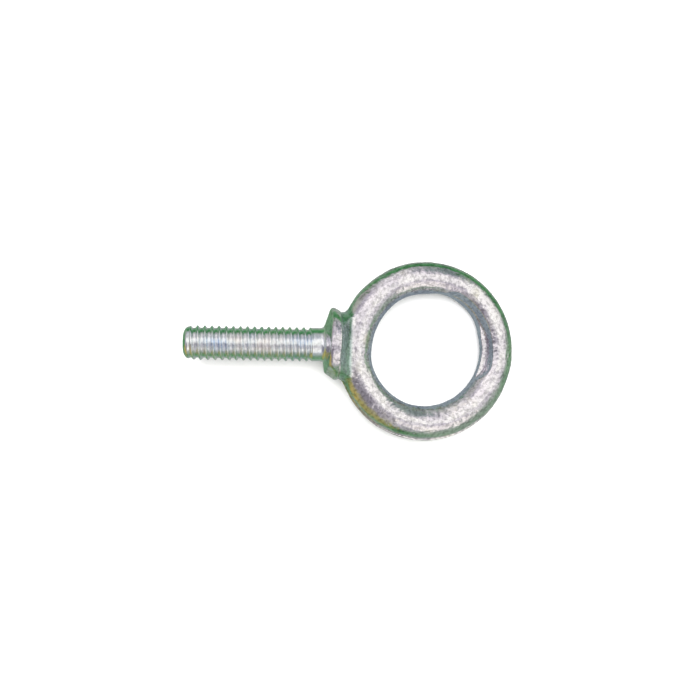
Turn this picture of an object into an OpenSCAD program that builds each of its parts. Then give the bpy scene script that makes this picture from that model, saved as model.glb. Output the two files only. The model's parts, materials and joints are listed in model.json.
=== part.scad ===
// Drop-forged shoulder eye bolt, 1/4-20 UNC x 1 in, in millimetres.
// The origin is the centre of the collar's seating face, on the axis of the thread.
// +X runs along that axis towards the eye, and the axis of the eye is parallel to +Z.
// The bolt is one forging; its nodes are the regions of it that meet face to face.
// The shank and the seating face are machined, at a slight angle to the forged head.

/* [Thread] */
// Radius over the crests of the thread
crest_r = 3.125; // [3.10:0.005:3.17]
// Radius at the roots of the thread, and of the core inside it
root_r = 2.49; // [2.4:0.01:2.55]
// Distance from one crest to the next, 25.4 / 20
pitch = 1.27; // [1:0.01:1.5]
// Width of the flat on each crest
crest_w = 0.16; // [0.1:0.01:0.2]
// Straight pieces in each turn of the ridge
turn_steps = 24; // [16:1:30]

/* [Shank] */
// Length from the seating face to the flat end of the point
shank_len = 25.4; // [15:0.1:40]
// Length of the domed point
point_len = 1.2; // [0.8:0.1:2]
// Radius of the flat end of the point
point_end_r = 1.3; // [0.8:0.05:1.8]
// Radius of the point where the first thread starts
point_r = 2.96; // [2.8:0.01:3.05]
// Radius of the plain land between the thread and the collar
land_r = 3.05; // [2.9:0.01:3.12]
// Length of the plain land, with the fillet
land_len = 2.1; // [1:0.1:4]
// Radius of the fillet between the plain land and the seating face
fillet_r = 0.5; // [0.2:0.05:0.7]

/* [Collar] */
// Radius of the collar's rim
collar_r = 6.65; // [6.3:0.05:8]
// Thickness of the collar
collar_t = 2.5; // [2:0.05:2.5]
// Outer radius of the flat seating face
seat_r = 4.7; // [4.5:0.05:5.4]
// Depth of the drafted edge in front of the rim
front_draft = 0.95; // [0.5:0.05:1.2]
// Radius of the rounded edge at the back of the rim
back_round = 0.4; // [0.2:0.05:0.5]
// Depth of the root of the shank inside the collar
root_depth = 1.7; // [1:0.1:1.8]

/* [Neck] */
// Radius of the neck, which is at its full width in the plane of the eye
neck_r = 6.1; // [5.8:0.05:6.2]
// Distance from the seating face to the plane where the eye begins
neck_end = 4.6; // [3.6:0.1:5]
// Distance from the seating face to the end of the neck, inside the tube of the eye
flare_end = 5.6; // [5.4:0.1:6]
// Radius of the hollow in each side of the neck
hollow_r = 6; // [5.8:0.05:6.2]
// Distance from the seating face to the centre line of each hollow
hollow_x = 8.25; // [8.1:0.05:8.4]
// Height of the centre line of each hollow over the plane of the eye
hollow_z = 7.8; // [7.6:0.05:8]

/* [Eye] */
// Distance from the seating face to the centre of the eye
eye_x = 19.0; // [18.9:0.05:19.3]
// Angle between the forged head and the machined shank
head_tilt = 2.1; // [0:0.1:3]
// Radius of the centre line of the eye's tube
eye_r = 13.4; // [13.2:0.05:13.5]
// Radius of the eye's tube
tube_r = 3.03; // [2.95:0.01:3.08]
// Radius of the trimmed flat inside the eye
bore_r = 10.48; // [10.45:0.01:10.7]
// Distance that the trimmed forging line stands off the outside of the eye
flash_h = 0.06; // [0.03:0.01:0.15]
// Width of the trimmed forging line
flash_w = 0.6; // [0.3:0.05:1]

/* [Hidden] */
$fn = 96;
eps = 0.01;
flank_x = (crest_r - root_r) * tan(30);
base_w = crest_w + 2 * flank_x;
thread_a = point_len - shank_len;
thread_b = -land_len;
seat_in_r = land_r + fillet_r;
// Depth of forged metal cut away to make the seating face.
face_cut = 0.4;
// The inner face of the ridge is straight between its steps, and only touches the core.
ridge_r = root_r / cos(180 / turn_steps) + 0.002;
ridge_start = thread_a + 0.08 - base_w / 2;
ridge_end = thread_b - 0.08 + base_w / 2;
ridge_n = floor((ridge_end - ridge_start) / pitch * turn_steps);
// Height and half length of the blend between the collar's drafted front and its rim.
blend_h = 0.3;
blend_l = 0.25;
// Length of the point's dome, which ends in a short straight edge.
dome_len = 0.96 * point_len;

// Turns a shape that stands along Z so that it lies along X, starting at x.
module along_x(x) {
  translate([x, 0, 0])
    rotate([0, 90, 0])
      children();
}

// Turns the forged head about the centre of the seating face.
module forged() {
  rotate([0, 0, -head_tilt])
    children();
}

// The plain tube of the eye, before it is trimmed.
module eye_tube() {
  translate([eye_x, 0, 0])
    rotate_extrude()
      translate([eye_r, 0])
        circle(r = tube_r);
}

// The thin trimmed forging line around the outside of the eye, clear of the neck.
module flash_line() {
  difference() {
    translate([eye_x, 0, -flash_w / 2])
      cylinder(r = eye_r + tube_r + flash_h, h = flash_w);
    translate([eye_x, 0, -flash_w])
      cylinder(r = eye_r, h = 2 * flash_w);
    translate([-1, -collar_r - 1, -1])
      cube([flare_end + 1, 2 * collar_r + 2, 2]);
  }
}

// The neck's body, as wide as the collar but hollow on both sides, down into the tube of the eye.
module flare() {
  difference() {
    along_x(collar_t)
      cylinder(r = neck_r, h = flare_end - collar_t);
    for (side = [-1, 1])
      translate([hollow_x, 0, side * hollow_z])
        rotate([90, 0, 0])
          cylinder(r = hollow_r, h = 4 * neck_r, center = true);
  }
}

// Everything in front of the plane where the neck gives way to the eye.
module neck_side() {
  translate([neck_end - 20, -20, -20])
    cube([20, 40, 40]);
}

// The round eye, with its inside trimmed to a short cylinder.
module eye_ring() {
  color("#b9bcc0")
    forged()
      difference() {
        union() {
          eye_tube();
          flash_line();
          flare();
        }
        neck_side();
        translate([eye_x, 0, -tube_r - 1])
          cylinder(r = bore_r, h = 2 * tube_r + 2);
      }
}

// The neck, where the collar flares into the root of the eye.
module neck() {
  color("#aeb2b5")
    forged()
      intersection() {
        union() {
          eye_tube();
          flare();
        }
        neck_side();
      }
}

// The rounded corner at the back of the collar's rim.
function back_corner(steps) = [
  for (i = [0 : steps])
    [
      collar_r - back_round + back_round * cos(90 * i / steps),
      collar_t - back_round + back_round * sin(90 * i / steps)
    ]
];

// The collar as forged, with a drafted front that stands proud of the seating face.
module forged_collar() {
  draft_slope = (collar_r - blend_h - seat_r) / (front_draft - blend_l);
  along_x(0)
    rotate_extrude()
      polygon(concat(
        [
          [0, -face_cut],
          [seat_r - face_cut * draft_slope, -face_cut],
          [collar_r - blend_h, front_draft - blend_l],
          [collar_r, front_draft + blend_l]
        ],
        back_corner(6),
        [[0, collar_t]]
      ));
}

// The collar, with its seating face cut flat at x = 0 and the root of the shank in it.
module collar() {
  color("#c0c3c6")
    difference() {
      forged()
        forged_collar();
      translate([-2, -collar_r - 1, -collar_r - 1])
        cube([2, 2 * collar_r + 2, 2 * collar_r + 2]);
      along_x(-1)
        cylinder(r = seat_in_r, h = root_depth + 1);
    }
}

// The core of the thread, the plain land, its fillet and the root inside the collar.
module shank() {
  color("#b4b7bb")
    union() {
      along_x(thread_a)
        cylinder(r = root_r, h = thread_b - thread_a + eps);
      along_x(thread_b)
        cylinder(r = land_r, h = land_len - fillet_r + eps);
      difference() {
        along_x(-fillet_r)
          cylinder(r = seat_in_r, h = fillet_r);
        along_x(-fillet_r - eps)
          rotate_extrude()
            translate([seat_in_r + eps, 0])
              circle(r = fillet_r);
      }
      along_x(0)
        cylinder(r = seat_in_r, h = root_depth);
    }
}

// Radius of the crest at step i, lower at both ends where the ridge runs out.
function crest_at(i) =
  let (
    a = min(1, i / turn_steps),
    b = min(1, (ridge_n - i) / (turn_steps / 2)),
    low = point_r - 0.25
  )
  min(low + (crest_r - low) * a, land_r - 0.03 + (crest_r - land_r + 0.03) * b);

// Distance along X of corner k of the ridge's section, kept between the two ends.
function ridge_x(i, k) =
  let (
    mid = ridge_start + pitch * i / turn_steps,
    side = [-base_w, -crest_w, crest_w, base_w][k] / 2,
    low = thread_a + [0, 0, 0.02, 0.04][k],
    high = thread_b - [0.04, 0.02, 0, 0][k]
  )
  min(max(mid + side, low), high);

// Corner k of the ridge's section at step i of the right-hand helix.
function ridge_point(i, k) =
  let (
    a = 360 * i / turn_steps,
    r = (k == 1 || k == 2) ? crest_at(i) : ridge_r
  )
  [ridge_x(i, k), r * cos(a), r * sin(a)];

// The helical ridge of the thread, wrapped around the core.
module thread() {
  color("#c8cbd0")
    polyhedron(
      points = [
        for (i = [0 : ridge_n])
          for (k = [0 : 3])
            ridge_point(i, k)
      ],
      faces = concat(
        [[0, 1, 2], [0, 2, 3]],
        [
          for (i = [0 : ridge_n - 1])
            for (k = [0 : 3])
              [4 * i + k, 4 * i + 4 + (k + 1) % 4, 4 * i + (k + 1) % 4]
        ],
        [
          for (i = [0 : ridge_n - 1])
            for (k = [0 : 3])
              [4 * i + k, 4 * i + 4 + k, 4 * i + 4 + (k + 1) % 4]
        ],
        [
          [4 * ridge_n, 4 * ridge_n + 2, 4 * ridge_n + 1],
          [4 * ridge_n, 4 * ridge_n + 3, 4 * ridge_n + 2]
        ]
      ),
      convexity = 20
    );
}

// The domed point in front of the first thread.
module point() {
  color("#bbbec2")
    along_x(-shank_len)
      rotate_extrude()
        polygon(concat(
          [[0, 0]],
          [
            for (i = [0 : 8])
              [
                point_end_r + (point_r - point_end_r) * sin(90 * i / 8),
                dome_len * (1 - cos(90 * i / 8))
              ]
          ],
          [[point_r, point_len], [0, point_len]]
        ));
}

eye_ring();
neck();
collar();
shank();
thread();
point();
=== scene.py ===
"""A drop-forged shoulder eye bolt lying on a pale floor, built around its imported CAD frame."""

import json
import math

import bmesh
import bpy
import numpy as np
from mathutils import Matrix, Vector


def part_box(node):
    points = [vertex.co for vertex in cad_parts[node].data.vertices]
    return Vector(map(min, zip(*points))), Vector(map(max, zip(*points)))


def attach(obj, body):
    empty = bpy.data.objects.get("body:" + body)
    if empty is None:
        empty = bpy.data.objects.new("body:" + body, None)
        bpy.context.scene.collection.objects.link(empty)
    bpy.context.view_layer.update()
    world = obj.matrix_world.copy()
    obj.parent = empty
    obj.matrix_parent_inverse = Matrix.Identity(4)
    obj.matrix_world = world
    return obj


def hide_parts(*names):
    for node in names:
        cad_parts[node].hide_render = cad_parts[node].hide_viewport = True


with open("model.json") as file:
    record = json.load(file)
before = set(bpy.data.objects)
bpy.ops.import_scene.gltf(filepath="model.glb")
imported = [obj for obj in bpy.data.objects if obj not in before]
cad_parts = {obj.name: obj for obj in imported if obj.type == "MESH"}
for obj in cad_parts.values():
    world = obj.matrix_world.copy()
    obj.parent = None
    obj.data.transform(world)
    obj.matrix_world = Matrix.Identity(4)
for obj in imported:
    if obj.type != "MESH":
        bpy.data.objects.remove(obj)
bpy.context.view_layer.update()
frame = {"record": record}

# Lengths in this script are millimetres, in the frame's own axes, until a mesh is written.
MM = 0.001


# ---------------------------------------------------------------- sizes, from the frame

MOUNTS = {m["name"]: m for m in frame["record"]["mounts"]}


def box_mm(node):
    """The lowest and highest corner of a CAD node, in millimetres."""
    low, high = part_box(node)
    return np.array(low) / MM, np.array(high) / MM


# The eye, and how far the head leans away from the shank's axis.
EYE_X, EYE_Y = (v / MM for v in MOUNTS["eye"]["pos_m"][:2])
EYE_DISTANCE = math.hypot(EYE_X, EYE_Y)
HEAD_TILT = math.atan2(-EYE_Y, EYE_X)
BORE_R = MOUNTS["eye"]["dims"]["r_mm"]
TUBE_R = box_mm("eye_ring")[1][2]
OUTER_R = box_mm("eye_ring")[1][0] - EYE_X
FLASH_H = 0.06
TUBE_CENTRE_R = OUTER_R - FLASH_H - TUBE_R

# The collar and the neck, whose hollows are parts of cylinders across the bolt.
COLLAR_R = box_mm("collar")[1][2]
COLLAR_T = 2.5
NECK_R = 6.15
NECK_END = 4.6
FLARE_END = 5.6
HOLLOW_R, HOLLOW_X, HOLLOW_Z = 6.0, 8.25, 7.8

# The shank, its thread and its point.
LAND_R = MOUNTS["shank_root"]["dims"]["r_mm"]
TIP_X = box_mm("point")[0][0]
THREAD_A = box_mm("thread")[0][0]
THREAD_B = box_mm("thread")[1][0]
CREST_R = box_mm("thread")[1][2]
ROOT_R = 2.70
PITCH = 1.27
FLANK_ANGLE = math.radians(60)
CREST_HALF = 0.11
CREST_ROUND, ROOT_ROUND = 0.12, 0.22
POINT_LENGTH = 1.25
POINT_END_R, POINT_R = 1.3, 2.98
FILLET_LENGTH = 0.8
FILLET_H = 0.55


# ---------------------------------------------------------------- smooth noise and blends

def smoothstep(x, low, high):
    """0 below low, 1 above high, and smooth between them."""
    t = np.clip((x - low) / (high - low), 0.0, 1.0)
    return t * t * (3.0 - 2.0 * t)


def smooth_max(a, b, width):
    """The larger of a and b, rounded over about width where they cross."""
    h = np.clip(0.5 + 0.5 * (a - b) / width, 0.0, 1.0)
    return b + (a - b) * h + width * h * (1.0 - h)


def smooth_min(a, b, width):
    """The smaller of a and b, rounded in the same way."""
    return -smooth_max(-a, -b, width)


def lattice(x, y, z, seed):
    """A fixed random number from -1 to 1 at each whole-numbered point."""
    h = (x * 374761393 + y * 668265263 + z * 2147483647 + seed * 974711) & 0xFFFFFFFF
    h = ((h ^ (h >> 13)) * 1274126177) & 0xFFFFFFFF
    h = ((h ^ (h >> 16)) * 668265263) & 0xFFFFFFFF
    return ((h ^ (h >> 15)) & 0xFFFFFF) / 8388607.5 - 1.0


def noise(points, size, seed):
    """Smooth random values from -1 to 1, with features about size across."""
    q = points / size + 1000.0
    cell = np.floor(q).astype(np.int64)
    f = q - cell
    f = f * f * f * (f * (f * 6.0 - 15.0) + 10.0)
    total = 0.0
    for i in (0, 1):
        for j in (0, 1):
            for k in (0, 1):
                weight = (
                    (f[:, 0] if i else 1 - f[:, 0])
                    * (f[:, 1] if j else 1 - f[:, 1])
                    * (f[:, 2] if k else 1 - f[:, 2])
                )
                total = total + weight * lattice(cell[:, 0] + i, cell[:, 1] + j, cell[:, 2] + k, seed)
    return total


# ---------------------------------------------------------------- the forged head as a field

def head_axes(points):
    """Distance along the forged head's own axis, and across it, in the plane of the eye."""
    c, s = math.cos(HEAD_TILT), math.sin(HEAD_TILT)
    return points[:, 0] * c - points[:, 1] * s, points[:, 0] * s + points[:, 1] * c


def edge_line(a, q, start, run, rise):
    """Distance outside a line in the (a, q) half-plane, from start along (run, rise)."""
    return ((q - start[1]) * run - (a - start[0]) * rise) / math.hypot(run, rise)


# How softly one forged surface turns into the next, and how sharp a trimmed edge is.
FORGED_EDGE = 0.35
JOIN = 0.30
NECK_JOIN = 0.80
TRIMMED_EDGE = 0.08
SEAT_EDGE = 0.10

# The tube is a little thinner on the +Y side, and the two dies met unevenly, so that the lower
# half stands out as a narrow ledge on the -Y side.
UNEVEN = 0.14
TUBE_SHIFT = 0.03
MISMATCH = 0.17
LEDGE_H = 0.03
# The trimmed forging line runs round the outside, a little below the middle.
FLASH_Z, FLASH_W = -0.15, 0.25
# The inside is trimmed by a punch that left it fuller near the neck and cut it back opposite.
FULL_SIDE, FULL_BY = math.radians(158), 0.26
CUT_SIDE, CUT_BY = math.radians(52), 0.80
# Beside the cut the trimming also sheared a step into the upper half.
STEP_MIDDLE, STEP_HALF = math.radians(26), math.radians(62)
STEP_R, STEP_Z, STEP_LEAN = 11.4, 0.75, 0.35
STEP_DEPTH, STEP_WAVE = 1.4, 0.15


def slow_wave(phi):
    """A slow wave round the eye, from -1 to 1."""
    return np.sin(5.0 * phi + 1.0) * 0.6 + np.sin(11.0 * phi) * 0.4


def eye_field(a, b, z):
    """Distance outside the round eye."""
    u = a - EYE_DISTANCE
    outer = smoothstep(np.hypot(u, b), TUBE_CENTRE_R - 0.5, TUBE_CENTRE_R + 0.5)
    b = b - MISMATCH * outer * np.tanh(z / LEDGE_H)
    rho = np.hypot(u, b)
    phi = np.arctan2(b, u)
    full = smoothstep(np.cos(phi - FULL_SIDE), 0.80, 1.0)
    cut = smoothstep(np.cos(phi - CUT_SIDE), 0.75, 1.0)
    tube = TUBE_R - UNEVEN * np.sin(phi) + FULL_BY / 2 * full
    across = rho - TUBE_CENTRE_R + FULL_BY / 2 * full + TUBE_SHIFT * np.sin(phi)
    flash = FLASH_H * np.exp(-(((z - FLASH_Z) / FLASH_W) ** 2)) * smoothstep(across, 0.5, 2.0)
    d = np.hypot(across, z) - tube - flash
    bore = BORE_R + CUT_BY * cut - FULL_BY * full - rho
    d = smooth_max(d, bore, TRIMMED_EDGE)
    turn = np.clip((phi - STEP_MIDDLE) / STEP_HALF, -1, 1)
    window = smoothstep(np.cos(turn * math.pi / 2), 0.0, 0.6)
    height = z - STEP_Z - STEP_WAVE * slow_wave(phi)
    wall = STEP_R - STEP_DEPTH * (1 - window) + STEP_LEAN * height - rho
    return smooth_max(d, smooth_min(wall, height, JOIN), TRIMMED_EDGE)


def neck_field(a, b, z):
    """Distance outside the neck: nearly as wide as the collar, and hollow on both sides."""
    width = np.hypot(b, z) - NECK_R
    hollow = HOLLOW_R - np.hypot(a - HOLLOW_X, np.abs(z) - HOLLOW_Z)
    ends = np.maximum(a - FLARE_END, COLLAR_T - 0.5 - a)
    return np.maximum(smooth_max(width, hollow, FORGED_EDGE), ends)


# The collar stands this much towards +Y, and this much past the CAD collar's back.
COLLAR_SHIFT = 0.3
BACK_OVER = 0.12
RIM_R = COLLAR_R + 0.03
# Its conical faces: distance from the seat and radius at the start, then run and rise.
FRONT_LINE = (0.0, 4.3), 0.5, 1.8
BACK_LINE = (1.35, RIM_R), 1.95, -0.94
LOW_LINE = (0.6, 5.65), 1.86, 1.1


def collar_field(a, b, z):
    """Distance outside the forged collar: it slopes back on its +Y side, and is cut away low on -Y."""
    b = b - COLLAR_SHIFT
    q = np.hypot(b, z)
    side = b / np.maximum(q, 0.1)
    d = smooth_max(q - RIM_R, a - COLLAR_T - BACK_OVER, FORGED_EDGE)
    front = edge_line(a, q, *FRONT_LINE) + 0.22 * smoothstep(side, 0.0, 0.8)
    d = smooth_max(d, front, 0.60)
    back = edge_line(a, q, *BACK_LINE) - 1.0 + smoothstep(side, 0.2, 0.95)
    d = smooth_max(d, back, 0.2)
    low = edge_line(a, q, *LOW_LINE) - 1.6 * (1.0 - smoothstep(-side, 0.2, 0.95))
    return smooth_max(d, low, 0.2)


def surface_relief(points):
    """Height of the forged skin: slow waves, finer orange peel and scattered pits."""
    waves = 0.040 * noise(points, 3.1, 11) + 0.022 * noise(points, 1.3, 12)
    peel = 0.014 * noise(points, 0.62, 13)
    pits = -0.10 * np.maximum(0.0, noise(points, 0.75, 14) - 0.52)
    return waves + peel + pits


def head_field(points, relief=True):
    """Distance outside the whole forged head, with its machined seating face."""
    a, b = head_axes(points)
    z = points[:, 2]
    d = smooth_min(eye_field(a, b, z), neck_field(a, b, z), NECK_JOIN)
    d = smooth_min(d, collar_field(a, b, z), JOIN)
    if relief:
        d = d - surface_relief(points)
    return smooth_max(d, -points[:, 0], SEAT_EDGE)


def gradient(field, points, step=0.02):
    """The direction in which the field grows fastest."""
    g = np.empty_like(points)
    for k in range(3):
        shift = np.zeros(3)
        shift[k] = step
        g[:, k] = (field(points + shift) - field(points - shift)) / (2 * step)
    return g


def settle(field, points, rounds):
    """Moves points onto the surface where the field is zero."""
    for _ in range(rounds):
        g = gradient(field, points)
        points = points - g * (field(points) / np.maximum((g * g).sum(1), 0.05))[:, None]
    return points


# ---------------------------------------------------------------- a net of quads over a field

def shell_quads(inside, number):
    """Four-sided faces between the cells around each grid edge that crosses the surface."""
    quads = []
    for axis in range(3):
        first, second = (axis + 1) % 3, (axis + 2) % 3
        start = np.moveaxis(inside, (axis, first, second), (0, 1, 2))
        cells = np.moveaxis(number, (axis, first, second), (0, 1, 2))
        low, high = start[:-1, 1:-1, 1:-1], start[1:, 1:-1, 1:-1]
        i, j, k = np.nonzero(low != high)
        outward = low[i, j, k]
        ring = np.stack(
            [cells[i, j, k], cells[i, j + 1, k], cells[i, j + 1, k + 1], cells[i, j, k + 1]], 1
        )
        quads.append(np.where(outward[:, None], ring, ring[:, ::-1]))
    return np.concatenate(quads)


def surface_net(field, low, high, step):
    """Points and quads over the surface where the field is zero, inside a box."""
    axes = [np.arange(low[k], high[k] + step, step) for k in range(3)]
    grid = np.stack(np.meshgrid(*axes, indexing="ij"), -1)
    shape = grid.shape[:3]
    inside = (field(grid.reshape(-1, 3)) < 0).reshape(shape)
    corners = sum(
        inside[i:shape[0] - 1 + i, j:shape[1] - 1 + j, k:shape[2] - 1 + k].astype(np.int8)
        for i in (0, 1) for j in (0, 1) for k in (0, 1)
    )
    mixed = (corners > 0) & (corners < 8)
    number = np.full(mixed.shape, -1, np.int64)
    number[mixed] = np.arange(mixed.sum())
    points = np.argwhere(mixed) * step + np.array(low) + step / 2
    return points, shell_quads(inside, number)


def relax(points, quads, rounds, field):
    """Evens out the quads by averaging neighbours, and keeps them on the surface."""
    ends = np.concatenate([quads[:, [0, 1]], quads[:, [1, 2]], quads[:, [2, 3]], quads[:, [3, 0]]])
    count = np.bincount(ends.ravel(), minlength=len(points))
    for _ in range(rounds):
        total = np.stack([
            np.bincount(ends[:, 0], points[ends[:, 1], k], len(points))
            + np.bincount(ends[:, 1], points[ends[:, 0], k], len(points))
            for k in range(3)
        ], 1)
        points = points + 0.5 * (total / count[:, None] - points)
        points = settle(field, points, 1)
    return points


# ---------------------------------------------------------------- writing meshes

def new_object(name, mesh):
    piece = bpy.data.objects.new(name, mesh)
    bpy.context.scene.collection.objects.link(piece)
    return piece


def finish_piece(bm, name, node, material, normal_at):
    """Writes a closed mesh in metres, smooth except on its flat cut faces, and rides it on the bolt."""
    mesh = bpy.data.meshes.new(name)
    bm.to_mesh(mesh)
    bm.free()
    points = np.empty(len(mesh.vertices) * 3)
    mesh.vertices.foreach_get("co", points)
    mesh.vertices.foreach_set("co", points * MM)
    corner = np.empty(len(mesh.loops), np.int64)
    mesh.loops.foreach_get("vertex_index", corner)
    normals = normal_at(points.reshape(-1, 3))[corner]
    for p in mesh.polygons:
        if not p.use_smooth:
            normals[p.loop_start:p.loop_start + p.loop_total] = p.normal
    mesh.update()
    mesh.normals_split_custom_set(normals)
    mesh.materials.append(material)
    piece = new_object(name, mesh)
    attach(piece, "root")
    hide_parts(node)


def cap_openings(bm):
    """Closes each open edge loop with one flat face."""
    open_edges = [e for e in bm.edges if e.is_boundary]
    for face in bmesh.ops.holes_fill(bm, edges=open_edges, sides=0)["faces"]:
        face.smooth = False
    bmesh.ops.recalc_face_normals(bm, faces=bm.faces)


# ---------------------------------------------------------------- the forged pieces

def head_slab(points, quads, cuts):
    """The part of the head between planes across its axis, as a closed bmesh."""
    bm = bmesh.new()
    verts = [bm.verts.new(p) for p in points]
    for q in quads:
        bm.faces.new([verts[i] for i in q]).smooth = True
    axis = Vector((math.cos(HEAD_TILT), -math.sin(HEAD_TILT), 0.0))
    for distance, keep_above in cuts:
        bmesh.ops.bisect_plane(
            bm,
            geom=bm.verts[:] + bm.edges[:] + bm.faces[:],
            plane_co=axis * distance,
            plane_no=axis,
            dist=1e-5,
            clear_inner=keep_above,
            clear_outer=not keep_above,
        )
    cap_openings(bm)
    return bm


def make_head(material):
    """The eye, neck and collar: one forged surface, cut where one region meets the next."""
    reach = OUTER_R + 0.6
    low = (-0.5, EYE_Y - reach, -COLLAR_R - 0.6)
    high = (EYE_X + reach, EYE_Y + reach, COLLAR_R + 0.6)
    step = 0.17
    points, quads = surface_net(lambda p: head_field(p, False), low, high, step)
    points = settle(head_field, points, 3)
    points = relax(points, quads, 4, head_field)
    points = settle(head_field, points, 2)

    def normal_at(p):
        g = gradient(head_field, p, 0.03)
        return g / np.linalg.norm(g, axis=1)[:, None]

    regions = (
        ("eye_ring_forged", "eye_ring", [(NECK_END, True)]),
        ("neck_forged", "neck", [(COLLAR_T, True), (NECK_END, False)]),
        ("collar_forged", "collar", [(COLLAR_T, False)]),
    )
    axial = head_axes(points)[0]
    for name, node, cuts in regions:
        near = np.ones(len(quads), bool)
        for distance, keep_above in cuts:
            side = axial[quads] - distance
            near &= (side > 0).any(1) if keep_above else (side < 0).any(1)
        used = np.unique(quads[near])
        renumber = np.full(len(points), -1)
        renumber[used] = np.arange(len(used))
        bm = head_slab(points[used], renumber[quads[near]], cuts)
        finish_piece(bm, name, node, material, normal_at)


# ---------------------------------------------------------------- the machined pieces

def thread_depth(x):
    """How much of the full thread is cut at x: none on the point and the plain land."""
    run_in = smoothstep(x, TIP_X + 0.65, TIP_X + 1.9)
    run_out = smoothstep(x, THREAD_B - 0.75, THREAD_B - 0.02)
    return run_in * (1 - run_out)


def machined_radius(x, angle):
    """Radius of the shank at distance x along its axis and angle round it."""
    t = np.clip((x - TIP_X) / POINT_LENGTH, 0.0, 1.0)
    body = POINT_END_R + (POINT_R - POINT_END_R) * np.sqrt(1 - (1 - t) ** 2)
    body = body + (CREST_R - POINT_R) * smoothstep(x, TIP_X + 1.0, TIP_X + 2.4)
    body = body + (LAND_R - CREST_R) * smoothstep(x, THREAD_B - 0.5, THREAD_B - 0.05)
    phase = np.mod(x / PITCH - angle / (2 * math.pi) + 0.5, 1.0)
    away = np.abs(phase - 0.5) * PITCH
    flank = CREST_R - (away - CREST_HALF) * math.tan(FLANK_ANGLE)
    groove = smooth_max(flank, np.full_like(away, ROOT_R), ROOT_ROUND)
    ridge = smooth_min(groove, np.full_like(away, CREST_R), CREST_ROUND)
    r = body - (CREST_R - ridge) * thread_depth(x)
    bend = np.clip(x / FILLET_LENGTH + 1.0, 0.0, 1.0)
    return r + FILLET_H * (1.0 - np.sqrt(1.0 - bend ** 2))


def machined_points(x, angle):
    """Points on the surface of the shank."""
    r = machined_radius(x, angle)
    return np.stack([x, r * np.cos(angle), r * np.sin(angle)], -1)


def machined_normals(points):
    """Outward normals of the shank, from its radius a little way along and round."""
    angle = np.arctan2(points[:, 2], points[:, 1])
    x = np.clip(points[:, 0], TIP_X + 1e-4, -1e-3)
    e = 0.004
    ahead = machined_points(np.minimum(x + e, -1e-4), angle)
    behind = machined_points(np.maximum(x - e, TIP_X), angle)
    around = machined_points(x, angle + e) - machined_points(x, angle - e)
    n = np.cross(around, ahead - behind)
    return n / np.linalg.norm(n, axis=1)[:, None]


def helical_piece(low, high, inner_end, steps_along, steps_round):
    """A closed length of the shank, with its rows of points along the thread's own helix.

    inner_end is how far it runs on past high, inside the collar, or None."""
    rows = np.arange(
        math.floor((low / PITCH - 1) * steps_along),
        math.ceil((high / PITCH) * steps_along) + 1,
    )
    angles = np.arange(steps_round) * 2 * math.pi / steps_round
    x = PITCH * (rows[:, None] / steps_along + np.arange(steps_round)[None, :] / steps_round)
    x = np.clip(x, low, high)
    grid = machined_points(x, np.broadcast_to(angles, x.shape))
    bm = bmesh.new()
    verts = [[bm.verts.new(p) for p in row] for row in grid]
    for i in range(len(rows) - 1):
        for j in range(steps_round):
            row, column = (i, j + 1) if j + 1 < steps_round else (i + steps_along, 0)
            if row + 1 >= len(rows):
                continue
            corners = [verts[i][j], verts[row][column], verts[row + 1][column], verts[i + 1][j]]
            if max(v.co.x for v in corners) - min(v.co.x for v in corners) > 1e-6:
                bm.faces.new(corners).smooth = True
    bmesh.ops.remove_doubles(bm, verts=bm.verts, dist=1e-5)
    loose = [v for v in bm.verts if not v.link_faces]
    bmesh.ops.delete(bm, geom=loose, context="VERTS")
    if inner_end is not None:
        rim = [e for e in bm.edges if e.is_boundary and min(v.co.x for v in e.verts) > high - 1e-4]
        extended = bmesh.ops.extrude_edge_only(bm, edges=rim)["geom"]
        for v in (g for g in extended if isinstance(g, bmesh.types.BMVert)):
            v.co.x = inner_end
    cap_openings(bm)
    return bm


def make_shank(material):
    along, around = ((26, 160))
    pieces = (
        ("point_domed", "point", TIP_X, THREAD_A, None),
        ("thread_rolled", "thread", THREAD_A, THREAD_B, None),
        ("shank_land", "shank", THREAD_B, 0.0, 0.4),
    )
    for name, node, low, high, inner_end in pieces:
        bm = helical_piece(low, high, inner_end, along, around)
        finish_piece(bm, name, node, material, machined_normals)


# ---------------------------------------------------------------- shader nodes

def node_maker(tree):
    """A short way to add a node with its settings, and its inputs as values or links."""
    def make(kind, inputs=(), **settings):
        node = tree.nodes.new(kind)
        for key, value in settings.items():
            setattr(node, key, value)
        for socket, value in dict(inputs).items():
            if isinstance(value, bpy.types.NodeSocket):
                tree.links.new(value, node.inputs[socket])
            else:
                node.inputs[socket].default_value = value
        return node
    return make


def new_material(name):
    """A material without nodes, and what adds nodes to it."""
    material = bpy.data.materials.new(name)
    material.use_nodes = True
    material.node_tree.nodes.clear()
    return material, node_maker(material.node_tree)


def maths(make, operation, *values):
    """What a math node makes of some numbers."""
    return make("ShaderNodeMath", enumerate(values), operation=operation).outputs["Value"]


def vectors(make, operation, *values):
    """The vector that a vector math node makes of some vectors."""
    return make("ShaderNodeVectorMath", enumerate(values), operation=operation).outputs["Vector"]


def measure(make, operation, *values):
    """The number that a vector math node makes of some vectors."""
    return make("ShaderNodeVectorMath", enumerate(values), operation=operation).outputs["Value"]


def scaled(make, vector, amount):
    """A vector or colour times a number."""
    return make("ShaderNodeVectorMath", {0: vector, "Scale": amount}, operation="SCALE").outputs["Vector"]


def remap(make, value, low, high, at_low=0.0, at_high=1.0, kind="LINEAR"):
    """A number that goes from at_low to at_high as value goes from low to high."""
    inputs = {"Value": value, "From Min": low, "From Max": high, "To Min": at_low, "To Max": at_high}
    return make("ShaderNodeMapRange", inputs, interpolation_type=kind).outputs["Result"]


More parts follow.
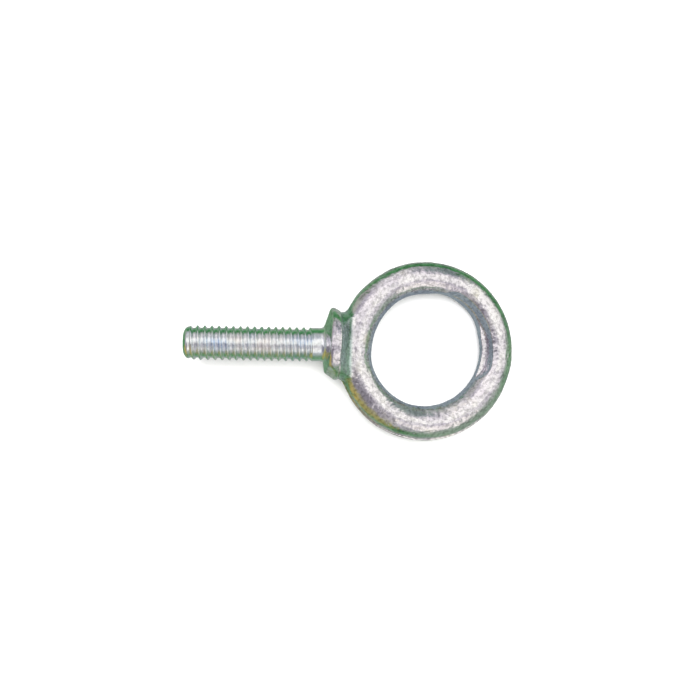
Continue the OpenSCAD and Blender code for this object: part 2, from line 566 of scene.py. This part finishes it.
def blend(make, amount, first, second):
    """A mix of two colours or vectors."""
    inputs = {"Factor": amount, 4: first, 5: second}
    return make("ShaderNodeMix", inputs, data_type="VECTOR").outputs[1]


def mix_shaders(make, amount, first, second):
    return make("ShaderNodeMixShader", {0: amount, 1: first, 2: second}).outputs["Shader"]


def ramp(make, factor, stops):
    """A colour that follows (position, colour) stops."""
    node = make("ShaderNodeValToRGB", {"Fac": factor})
    elements = node.color_ramp.elements
    for element, (position, colour) in zip(list(elements), (stops[0], stops[-1])):
        element.position = position
        element.color = (*colour, 1)
    for position, colour in stops[1:-1]:
        elements.new(position).color = (*colour, 1)
    return node.outputs["Color"]


def grain_node(make, place, scale, detail=2.0, roughness=0.6, lift=None):
    """A noise with scale features to the metre, in four dimensions where lift is given."""
    inputs = {"Vector": place, "Scale": scale, "Detail": detail, "Roughness": roughness}
    if lift is None:
        return make("ShaderNodeTexNoise", inputs).outputs["Fac"]
    inputs["W"] = lift
    return make("ShaderNodeTexNoise", inputs, noise_dimensions="4D").outputs["Fac"]


# ---------------------------------------------------------------- zinc plate

PATCH_SCALE = 240.0
SPECK_SCALE = 1700.0
FORGED_TINT = (
    (0.30, (0.66, 0.64, 0.70)),
    (0.42, (0.84, 0.80, 0.86)),
    (0.58, (0.96, 0.93, 0.96)),
    (0.72, (0.88, 0.84, 0.76)),
)
MACHINED_TINT = (
    (0.30, (0.79, 0.87, 1.00)),
    (0.45, (0.92, 0.96, 1.00)),
    (0.60, (1.00, 1.00, 1.00)),
    (0.75, (0.95, 0.90, 0.90)),
)
# The size and height of each scale of grain, and of the streaks with how far they are drawn out.
FORGED_GRAINS = ((1.5, 0.08), (0.60, 0.022), (0.26, 0.011))
FORGED_STREAKS = ((0.75, 0.055, 3.5),)
MACHINED_GRAINS = ((0.9, 0.02), (0.30, 0.008))
# In the neck's hollows the plate is rougher and carries a painted green-grey reflection and shade: its
# colour against the rest, and its added roughness.
NECK_PAINTED_REFLECTION_AND_DULLING = ((0.66, 0.84, 0.76), 0.11)


def along_tube(make, place, stretch):
    """Four coordinates in which a noise is drawn out along the eye by stretch."""
    flat = vectors(make, "SUBTRACT", place, Vector((EYE_X, EYE_Y, 0)) * MM)
    flat = vectors(make, "MULTIPLY", flat, (1, 1, 0))
    around = scaled(make, vectors(make, "NORMALIZE", flat), TUBE_CENTRE_R * MM / stretch)
    out = make("ShaderNodeCombineXYZ", {"Z": measure(make, "LENGTH", flat)}).outputs["Vector"]
    lift = make("ShaderNodeSeparateXYZ", {"Vector": place}).outputs["Z"]
    return vectors(make, "ADD", around, out), lift


def in_the_neck(make, place):
    """1 between the collar and the eye, and 0 elsewhere."""
    along = make("ShaderNodeSeparateXYZ", {"Vector": place}).outputs["X"]
    past = remap(make, along, COLLAR_T * MM, (COLLAR_T + 0.2) * MM)
    short = remap(make, along, (NECK_END - 0.2) * MM, (NECK_END + 0.5) * MM, 1.0, 0.0, "SMOOTHSTEP")
    return maths(make, "MULTIPLY", past, short)


def zinc(name, base_rough, grains, tint, speck, groove=1.0, streaks=(), hollow=None):
    """Bright zinc plate: silver, with faint lilac, blue and straw patches and a fine grain.

    speck is how bright the dark specks stay, and groove how bright the painted shade leaves the plate low
    in a thread. hollow is the painted green-grey reflection and shade tint in the neck, with the
    roughness added there."""
    material, make = new_material(name)
    place = make("ShaderNodeTexCoord").outputs["Object"]
    patches = grain_node(make, place, PATCH_SCALE, 3.0, 0.55)
    specks = remap(make, grain_node(make, place, SPECK_SCALE), 0.34, 0.56, speck, 1.0)
    radius = measure(make, "LENGTH", vectors(make, "MULTIPLY", place, (0, 1, 1)))
    # Painted shade: the plate darkens towards the root of the thread, to groove times its colour at the
    # bottom.
    low = remap(make, radius, (ROOT_R + 0.05) * MM, (CREST_R - 0.06) * MM, groove, 1.0)
    colour = scaled(make, ramp(make, patches, tint), maths(make, "MULTIPLY", specks, low))
    rough = remap(make, patches, 0.3, 0.7, base_rough - 0.05, base_rough + 0.08)
    if hollow:
        cast, dulling = hollow
        inside = in_the_neck(make, place)
        # Painted reflection and shade: the neck's colour is tinted green-grey and darkened.
        colour = blend(make, inside, colour, vectors(make, "MULTIPLY", colour, cast))
        rough = maths(make, "MULTIPLY_ADD", inside, dulling, rough)
    height = 0.0
    for size, rise in grains:
        grain = grain_node(make, place, 1.0 / (size * MM))
        height = maths(make, "MULTIPLY_ADD", grain, rise * MM, height)
    for size, rise, stretch in streaks:
        drawn, lift = along_tube(make, place, stretch)
        grain = grain_node(make, drawn, 1.0 / (size * MM), lift=lift)
        height = maths(make, "MULTIPLY_ADD", grain, rise * MM, height)
    bump = make("ShaderNodeBump", {"Height": height, "Distance": 1.0, "Strength": 1.0})
    shader = make("ShaderNodeBsdfPrincipled", {
        "Base Color": colour,
        "Metallic": 1.0,
        "Roughness": rough,
        "Normal": bump.outputs["Normal"],
    })
    make("ShaderNodeOutputMaterial", {"Surface": shader.outputs["BSDF"]})
    return material


# ---------------------------------------------------------------- the floor

# The bolt lies on the rim of its collar and the far side of its eye, so it leans this much.
RIM_LOW = Vector((COLLAR_T * 0.7, 0.0, -COLLAR_R - 0.05)) * MM
EYE_LOW = Vector((EYE_X + TUBE_CENTRE_R, EYE_Y, -TUBE_R - 0.05)) * MM
LEAN = math.atan2(EYE_LOW.z - RIM_LOW.z, EYE_LOW.x - RIM_LOW.x)
FLOOR_UP = Vector((-math.sin(LEAN), 0.0, math.cos(LEAN)))
FLOOR_RIGHT = Vector((math.cos(LEAN), 0.0, math.sin(LEAN)))
FLOOR_BACK = Vector((0.0, 1.0, 0.0))
FLOOR_HALF = 200
FADE_FROM, FADE_TO = 80, 170


def floor_material():
    """Pale from above; under the eye a painted reflection, a patch glowing a fixed grey-blue that only
    the plate's reflections show; clear elsewhere.
    """
    material, make = new_material("pale_floor")
    pale = make("ShaderNodeBsdfDiffuse", {"Color": (0.93, 0.93, 0.93, 1), "Roughness": 0.5})
    clear = make("ShaderNodeBsdfTransparent").outputs["BSDF"]
    # Painted reflection: under the eye the floor glows a fixed grey-blue for the plate to mirror.
    reflection_glow = make("ShaderNodeEmission", {"Color": (0.27, 0.33, 0.36, 1), "Strength": 1.0})
    place = make("ShaderNodeNewGeometry")
    off = measure(make, "DISTANCE", place.outputs["Position"], Vector((EYE_X, EYE_Y, -TUBE_R)) * MM)
    outside = maths(make, "GREATER_THAN", off, (BORE_R + 1.5) * MM)
    mirrored = mix_shaders(make, outside, reflection_glow.outputs["Emission"], clear)
    glossy = make("ShaderNodeLightPath").outputs["Is Glossy Ray"]
    top = mix_shaders(make, glossy, pale.outputs["BSDF"], mirrored)
    fade = remap(make, off, FADE_FROM * MM, FADE_TO * MM, kind="SMOOTHSTEP")
    gone = maths(make, "MAXIMUM", fade, place.outputs["Backfacing"])
    make("ShaderNodeOutputMaterial", {"Surface": mix_shaders(make, gone, top, clear)})
    return material


def make_floor():
    """A pale sheet, seen only from above, that fades out towards its edge."""
    mesh = bpy.data.meshes.new("floor")
    right = FLOOR_RIGHT * FLOOR_HALF * MM
    back = FLOOR_BACK * FLOOR_HALF * MM
    corners = [RIM_LOW + right * i + back * j for i, j in ((-1, -1), (1, -1), (1, 1), (-1, 1))]
    mesh.from_pydata(corners, [], [(0, 1, 2, 3)])
    mesh.materials.append(floor_material())
    new_object("floor", mesh)


# ---------------------------------------------------------------- the surroundings

# The colour from straight down, at 0, through level, at 0.5, to straight up, at 1.
SKY = (
    (0.00, (0.40, 0.44, 0.41)),
    (0.15, (0.30, 0.38, 0.31)),
    (0.27, (0.11, 0.31, 0.13)),
    (0.42, (0.05, 0.21, 0.07)),
    (0.50, (0.07, 0.22, 0.09)),
    (0.56, (0.30, 0.36, 0.31)),
    (0.65, (0.50, 0.50, 0.51)),
    (0.80, (0.56, 0.54, 0.59)),
    (0.92, (0.58, 0.56, 0.61)),
    (1.00, (0.56, 0.55, 0.58)),
)
# Azimuth, elevation and half width of each patch in degrees, then its strength and colour.
PATCHES = (
    (-50, 0, 55, 0.8, (0.32, 0.40, 0.32)),
    (0, -4, 34, 0.6, (0.26, 0.40, 0.26)),
    (145, 2, 30, 0.8, (0.46, 0.46, 0.42)),
    (-132, 2, 42, 0.95, (0.36, 0.34, 0.13)),
    (-152, -2, 24, 0.8, (0.52, 0.42, 0.12)),
    (180, -59, 32, 0.85, (0.13, 0.30, 0.15)),
    (-90, 60, 22, 0.85, (0.80, 0.77, 0.80)),
    (58, 26, 26, 0.9, (0.20, 0.27, 0.25)),
    (-142, 54, 40, 0.95, (0.24, 0.23, 0.26)),
    (99, 33, 17, 0.8, (1.00, 0.98, 0.96)),
    (-52, 29, 18, 0.75, (1.00, 0.98, 0.92)),
    (20, 22, 20, 0.6, (0.85, 0.86, 0.80)),
    (-8, 36, 20, 0.6, (0.98, 0.97, 0.94)),
    (118, 76, 20, 1.0, (1.10, 1.08, 1.05)),
    (86, 62, 20, 0.9, (1.15, 1.13, 1.10)),
    (130, 62, 19, 1.0, (1.15, 1.12, 1.10)),
    (168, 61, 19, 1.0, (1.15, 1.12, 1.10)),
    (12, 60, 26, 1.0, (1.15, 1.15, 1.08)),
    (26, 32, 22, 1.0, (1.05, 1.05, 0.98)),
    (-62, 40, 24, 0.9, (1.15, 1.11, 1.03)),
)
# Each patch is even over this share of its half width, and fades over the rest.
PATCH_CORE = 0.3


def towards(azimuth, elevation):
    """The direction at an azimuth round the floor, from +X, and an elevation over it, in degrees."""
    az, el = math.radians(azimuth), math.radians(elevation)
    flat = FLOOR_RIGHT * math.cos(az) + FLOOR_BACK * math.sin(az)
    return flat * math.cos(el) + FLOOR_UP * math.sin(el)


def make_world():
    """An open sky over grass, in soft patches, with a white backdrop for the camera."""
    world = bpy.data.worlds.new("studio")
    bpy.context.scene.world = world
    world.use_nodes = True
    world.node_tree.nodes.clear()
    make = node_maker(world.node_tree)
    way = make("ShaderNodeTexCoord").outputs["Generated"]
    level = remap(make, measure(make, "DOT_PRODUCT", way, FLOOR_UP), -1.0, 1.0)
    sky = ramp(make, level, SKY)
    for azimuth, elevation, half, strength, colour in PATCHES:
        near = measure(make, "DOT_PRODUCT", way, towards(azimuth, elevation))
        edge = math.cos(math.radians(half))
        core = math.cos(math.radians(half * PATCH_CORE))
        amount = remap(make, near, edge, core, at_high=strength, kind="SMOOTHSTEP")
        sky = blend(make, amount, sky, colour)
    light = make("ShaderNodeBackground", {"Color": sky, "Strength": 1.0})
    backdrop = make("ShaderNodeBackground", {"Color": (1, 1, 1, 1), "Strength": 1.0})
    seen = make("ShaderNodeLightPath").outputs["Is Camera Ray"]
    both = mix_shaders(make, seen, light.outputs["Background"], backdrop.outputs["Background"])
    make("ShaderNodeOutputWorld", {"Surface": both})


# ---------------------------------------------------------------- the light and the camera

LIGHT_PLACE = Vector((-20, 60, 320))
LIGHT_AIM = Vector((5, 0, 0))
LIGHT_SIZE = 220
LIGHT_POWER = 1.6
VIEW_FOOT = Vector((4.77, -0.89, 0.0))
VIEW_DISTANCE = 140.0
VIEW_WIDTH = 128.91
VIEW_ROLL = math.radians(0.97)


def make_light():
    """One large soft light high over the bolt, which lights the floor but isn't mirrored."""
    data = bpy.data.lights.new("overhead", "AREA")
    data.size = LIGHT_SIZE * MM
    data.energy = LIGHT_POWER
    lamp = new_object("overhead", data)
    lamp.location = LIGHT_PLACE * MM
    lamp.rotation_mode = "QUATERNION"
    lamp.rotation_quaternion = (LIGHT_AIM * MM - lamp.location).to_track_quat("-Z", "Y")
    lamp.visible_glossy = False


def make_camera():
    """The camera stands straight above the floor, a hand's breadth from the bolt."""
    data = bpy.data.cameras.new("camera")
    data.sensor_width = 36.0
    data.lens = data.sensor_width * VIEW_DISTANCE / VIEW_WIDTH
    data.clip_start, data.clip_end = 0.005, 5.0
    camera = new_object("camera", data)
    camera.location = (VIEW_FOOT + FLOOR_UP * VIEW_DISTANCE) * MM
    right = FLOOR_RIGHT * math.cos(VIEW_ROLL) + FLOOR_BACK * math.sin(VIEW_ROLL)
    up = FLOOR_UP.cross(right)
    camera.rotation_mode = "QUATERNION"
    camera.rotation_quaternion = Matrix((right, up, FLOOR_UP)).transposed().to_quaternion()
    bpy.context.scene.camera = camera


# ---------------------------------------------------------------- the scene

# The forged plate carries a painted green-grey reflection and shade in the neck.
make_head(zinc("zinc_forged", 0.17, FORGED_GRAINS, FORGED_TINT, 0.62,
               streaks=FORGED_STREAKS, hollow=NECK_PAINTED_REFLECTION_AND_DULLING))
# The machined plate carries painted shade low in its thread, through groove=0.92.
make_shank(zinc("zinc_machined", 0.18, MACHINED_GRAINS, MACHINED_TINT, 0.85, groove=0.92))
make_floor()
make_world()
make_light()
make_camera()

bpy.context.scene.view_settings.view_transform = "Standard"
